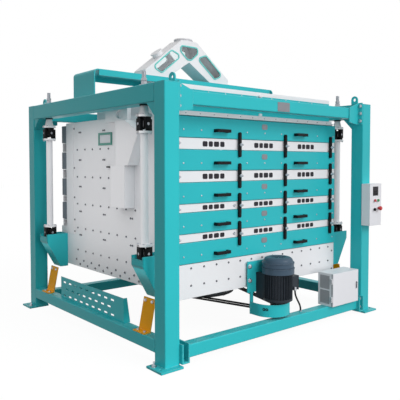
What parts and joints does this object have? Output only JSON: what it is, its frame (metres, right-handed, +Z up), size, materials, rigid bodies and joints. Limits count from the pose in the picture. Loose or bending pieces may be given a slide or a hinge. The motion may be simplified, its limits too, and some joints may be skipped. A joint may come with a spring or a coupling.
{
  "type": "vibrating sieve",
  "caption": "Free-swinging gyratory flour sieve: drawer stack hung on cardan rods in a square-tube stand, driven by an upright belt motor.",
  "frame": {"origin": "On the floor at the middle of the four floor anchor holes, under the middle of the stand", "axes": "+Z up, -Y the drawer side, +X to the right when facing the drawers"},
  "size_m": [2.716, 2.606, 2.808],
  "materials": {
    "frame_paint": "satin turquoise paint",
    "drawer_paint": "satin turquoise paint",
    "white_paint": "satin white paint",
    "grey_paint": "textured light grey paint",
    "orange_paint": "orange paint",
    "shade_paint": "dark grey paint",
    "plain_steel": "plain steel",
    "wheel_iron": "dark cast iron",
    "motor_alloy": "dark painted alloy",
    "black_plastic": "black plastic",
    "black_rubber": "black rubber",
    "red_cap": "red plastic",
    "green_cap": "green plastic",
    "clear_pane": "clear pane"
  },
  "bodies": {
    "frame": {"corner_posts": "frame_paint", "top_rails": "frame_paint", "bottom_rails": "frame_paint", "feed_gantry": "frame_paint", "feed_distributor": "white_paint", "distributor_windows": "clear_pane", "hanger_heads": "plain_steel", "slotted_guard": "frame_paint", "transport_stays": "orange_paint", "cabinet_case": "grey_paint", "control_box": "grey_paint"},
    "sieve": {"side_walls": "white_paint", "base_tray": "white_paint", "top_cover": "white_paint", "crossbars": "white_paint", "drawers": "drawer_paint", "drawer_handles": "black_plastic", "back_covers": "shade_paint", "hanger_brackets": "frame_paint", "lower_bearing_blocks": "black_rubber", "side_chute": "white_paint", "motor_bracket": "frame_paint", "motor": "motor_alloy", "drive_belts": "black_rubber", "motor_cable": "black_rubber"},
    "cabinet_door": {"cabinet_door": "grey_paint"},
    "start_button": {"start_button": "green_cap"},
    "stop_button": {"stop_button": "red_cap"},
    "selector_knob": {"selector_knob": "black_plastic"},
    "emergency_stop": {"emergency_stop": "red_cap"},
    "counterweight_wheel": {"counterweight_wheel": "wheel_iron"},
    "motor_pulley": {"motor_pulley": "wheel_iron"},
    "upper_cross_front_left": {"upper_cross_front_left": "plain_steel"},
    "hanger_front_left": {"hanger_front_left": "white_paint"},
    "lower_cross_front_left": {"lower_cross_front_left": "plain_steel"},
    "upper_cross_front_right": {"upper_cross_front_right": "plain_steel"},
    "hanger_front_right": {"hanger_front_right": "white_paint"},
    "lower_cross_front_right": {"lower_cross_front_right": "plain_steel"},
    "upper_cross_back_left": {"upper_cross_back_left": "plain_steel"},
    "hanger_back_left": {"hanger_back_left": "white_paint"},
    "lower_cross_back_left": {"lower_cross_back_left": "plain_steel"},
    "upper_cross_back_right": {"upper_cross_back_right": "plain_steel"},
    "hanger_back_right": {"hanger_back_right": "white_paint"},
    "lower_cross_back_right": {"lower_cross_back_right": "plain_steel"},
    "clamp_row1_column1": {"clamp_row1_column1": "black_plastic"},
    "clamp_row1_column2": {"clamp_row1_column2": "black_plastic"},
    "clamp_row1_column3": {"clamp_row1_column3": "black_plastic"},
    "clamp_row1_column4": {"clamp_row1_column4": "black_plastic"},
    "clamp_row2_column1": {"clamp_row2_column1": "black_plastic"},
    "clamp_row2_column2": {"clamp_row2_column2": "black_plastic"},
    "clamp_row2_column3": {"clamp_row2_column3": "black_plastic"},
    "clamp_row2_column4": {"clamp_row2_column4": "black_plastic"},
    "clamp_row3_column1": {"clamp_row3_column1": "black_plastic"},
    "clamp_row3_column2": {"clamp_row3_column2": "black_plastic"},
    "clamp_row3_column3": {"clamp_row3_column3": "black_plastic"},
    "clamp_row3_column4": {"clamp_row3_column4": "black_plastic"},
    "clamp_row4_column1": {"clamp_row4_column1": "black_plastic"},
    "clamp_row4_column2": {"clamp_row4_column2": "black_plastic"},
    "clamp_row4_column3": {"clamp_row4_column3": "black_plastic"},
    "clamp_row4_column4": {"clamp_row4_column4": "black_plastic"}
  },
  "joints": [
    {"name": "sway_x", "type": "hinge", "parent": "frame", "child": "upper_cross_front_left", "pos_m": [-1.224, -0.853, 1.81], "axis": [0, 1, 0], "range_deg": [-2, 2], "deforming": ["motor_cable"]},
    {"name": "sway_y", "type": "hinge", "parent": "upper_cross_front_left", "child": "hanger_front_left", "pos_m": [-1.224, -0.853, 1.81], "axis": [1, 0, 0], "range_deg": [-2, 2], "deforming": ["motor_cable"]},
    {"name": "lower_y_front_left", "type": "hinge", "parent": "hanger_front_left", "child": "lower_cross_front_left", "pos_m": [-1.224, -0.853, 0.811], "axis": [1, 0, 0], "range_deg": [-2, 2]},
    {"name": "lower_x_front_left", "type": "hinge", "parent": "lower_cross_front_left", "child": "sieve", "pos_m": [-1.224, -0.853, 0.811], "axis": [0, 1, 0], "range_deg": [-2, 2]},
    {"name": "upper_x_front_right", "type": "hinge", "parent": "frame", "child": "upper_cross_front_right", "pos_m": [1.224, -0.853, 1.81], "axis": [0, 1, 0], "range_deg": [-2, 2]},
    {"name": "upper_y_front_right", "type": "hinge", "parent": "upper_cross_front_right", "child": "hanger_front_right", "pos_m": [1.224, -0.853, 1.81], "axis": [1, 0, 0], "range_deg": [-2, 2]},
    {"name": "lower_y_front_right", "type": "hinge", "parent": "hanger_front_right", "child": "lower_cross_front_right", "pos_m": [1.224, -0.853, 0.811], "axis": [1, 0, 0], "range_deg": [-2, 2]},
    {"name": "upper_x_back_left", "type": "hinge", "parent": "frame", "child": "upper_cross_back_left", "pos_m": [-1.224, 0.853, 1.81], "axis": [0, 1, 0], "range_deg": [-2, 2]},
    {"name": "upper_y_back_left", "type": "hinge", "parent": "upper_cross_back_left", "child": "hanger_back_left", "pos_m": [-1.224, 0.853, 1.81], "axis": [1, 0, 0], "range_deg": [-2, 2]},
    {"name": "lower_y_back_left", "type": "hinge", "parent": "hanger_back_left", "child": "lower_cross_back_left", "pos_m": [-1.224, 0.853, 0.811], "axis": [1, 0, 0], "range_deg": [-2, 2]},
    {"name": "upper_x_back_right", "type": "hinge", "parent": "frame", "child": "upper_cross_back_right", "pos_m": [1.224, 0.853, 1.81], "axis": [0, 1, 0], "range_deg": [-2, 2]},
    {"name": "upper_y_back_right", "type": "hinge", "parent": "upper_cross_back_right", "child": "hanger_back_right", "pos_m": [1.224, 0.853, 1.81], "axis": [1, 0, 0], "range_deg": [-2, 2]},
    {"name": "lower_y_back_right", "type": "hinge", "parent": "hanger_back_right", "child": "lower_cross_back_right", "pos_m": [1.224, 0.853, 0.811], "axis": [1, 0, 0], "range_deg": [-2, 2]},
    {"name": "wheel_spin", "type": "hinge", "parent": "sieve", "child": "counterweight_wheel", "pos_m": [0, 0, 0.225], "axis": [0, 0, 1], "continuous": true},
    {"name": "pulley_spin", "type": "hinge", "parent": "sieve", "child": "motor_pulley", "pos_m": [0, -1.133, 0.225], "axis": [0, 0, 1], "continuous": true},
    {"name": "clamp_row1_column1_turn", "type": "hinge", "parent": "sieve", "child": "clamp_row1_column1", "pos_m": [-0.98, -0.954, 1.668], "axis": [0, 1, 0], "range_deg": [0, 90]},
    {"name": "clamp_row1_column2_turn", "type": "hinge", "parent": "sieve", "child": "clamp_row1_column2", "pos_m": [-0.296, -0.954, 1.668], "axis": [0, 1, 0], "range_deg": [0, 90]},
    {"name": "clamp_row1_column3_turn", "type": "hinge", "parent": "sieve", "child": "clamp_row1_column3", "pos_m": [0.296, -0.954, 1.668], "axis": [0, 1, 0], "range_deg": [0, 90]},
    {"name": "clamp_row1_column4_turn", "type": "hinge", "parent": "sieve", "child": "clamp_row1_column4", "pos_m": [0.98, -0.954, 1.668], "axis": [0, 1, 0], "range_deg": [0, 90]},
    {"name": "clamp_row2_column1_turn", "type": "hinge", "parent": "sieve", "child": "clamp_row2_column1", "pos_m": [-0.98, -0.954, 1.4], "axis": [0, 1, 0], "range_deg": [0, 90]},
    {"name": "clamp_row2_column2_turn", "type": "hinge", "parent": "sieve", "child": "clamp_row2_column2", "pos_m": [-0.296, -0.954, 1.4], "axis": [0, 1, 0], "range_deg": [0, 90]},
    {"name": "clamp_row2_column3_turn", "type": "hinge", "parent": "sieve", "child": "clamp_row2_column3", "pos_m": [0.296, -0.954, 1.4], "axis": [0, 1, 0], "range_deg": [0, 90]},
    {"name": "clamp_row2_column4_turn", "type": "hinge", "parent": "sieve", "child": "clamp_row2_column4", "pos_m": [0.98, -0.954, 1.4], "axis": [0, 1, 0], "range_deg": [0, 90]},
    {"name": "clamp_row3_column1_turn", "type": "hinge", "parent": "sieve", "child": "clamp_row3_column1", "pos_m": [-0.98, -0.954, 1.144], "axis": [0, 1, 0], "range_deg": [0, 90]},
    {"name": "clamp_row3_column2_turn", "type": "hinge", "parent": "sieve", "child": "clamp_row3_column2", "pos_m": [-0.296, -0.954, 1.144], "axis": [0, 1, 0], "range_deg": [0, 90]},
    {"name": "clamp_row3_column3_turn", "type": "hinge", "parent": "sieve", "child": "clamp_row3_column3", "pos_m": [0.296, -0.954, 1.144], "axis": [0, 1, 0], "range_deg": [0, 90]},
    {"name": "clamp_row3_column4_turn", "type": "hinge", "parent": "sieve", "child": "clamp_row3_column4", "pos_m": [0.98, -0.954, 1.144], "axis": [0, 1, 0], "range_deg": [0, 90]},
    {"name": "clamp_row4_column1_turn", "type": "hinge", "parent": "sieve", "child": "clamp_row4_column1", "pos_m": [-0.98, -0.954, 0.9], "axis": [0, 1, 0], "range_deg": [0, 90]},
    {"name": "clamp_row4_column2_turn", "type": "hinge", "parent": "sieve", "child": "clamp_row4_column2", "pos_m": [-0.296, -0.954, 0.9], "axis": [0, 1, 0], "range_deg": [0, 90]},
    {"name": "clamp_row4_column3_turn", "type": "hinge", "parent": "sieve", "child": "clamp_row4_column3", "pos_m": [0.296, -0.954, 0.9], "axis": [0, 1, 0], "range_deg": [0, 90]},
    {"name": "clamp_row4_column4_turn", "type": "hinge", "parent": "sieve", "child": "clamp_row4_column4", "pos_m": [0.98, -0.954, 0.9], "axis": [0, 1, 0], "range_deg": [0, 90]},
    {"name": "cabinet_door_swing", "type": "hinge", "parent": "frame", "child": "cabinet_door", "pos_m": [0.63, -1.24, 0.304], "axis": [0, 0, -1], "range_deg": [0, 110]},
    {"name": "start_press", "type": "slide", "parent": "frame", "child": "start_button", "axis": [0, 1, 0], "range_m": [0, 0.004], "stiffness_N_per_m": 1200},
    {"name": "stop_press", "type": "slide", "parent": "frame", "child": "stop_button", "axis": [0, 1, 0], "range_m": [0, 0.004], "stiffness_N_per_m": 1200},
    {"name": "selector_turn", "type": "hinge", "parent": "frame", "child": "selector_knob", "pos_m": [1.215, -1.305, 1.048], "axis": [0, 1, 0], "range_deg": [-45, 45]},
    {"name": "emergency_press", "type": "slide", "parent": "frame", "child": "emergency_stop", "axis": [0, 1, 0], "range_m": [0, 0.006], "stiffness_N_per_m": 1500}
  ],
  "couplings": [
    {"joint": "lower_y_front_left", "follows": "sway_y", "ratio": -1},
    {"joint": "upper_x_front_right", "follows": "sway_x", "ratio": 1},
    {"joint": "upper_y_front_right", "follows": "sway_y", "ratio": 1},
    {"joint": "lower_y_front_right", "follows": "sway_y", "ratio": -1},
    {"joint": "upper_x_back_left", "follows": "sway_x", "ratio": 1},
    {"joint": "upper_y_back_left", "follows": "sway_y", "ratio": 1},
    {"joint": "lower_y_back_left", "follows": "sway_y", "ratio": -1},
    {"joint": "upper_x_back_right", "follows": "sway_x", "ratio": 1},
    {"joint": "upper_y_back_right", "follows": "sway_y", "ratio": 1},
    {"joint": "lower_y_back_right", "follows": "sway_y", "ratio": -1},
    {"joint": "lower_x_front_left", "follows": "sway_x", "ratio": -1},
    {"joint": "pulley_spin", "follows": "wheel_spin", "ratio": 5.6618}
  ]
}
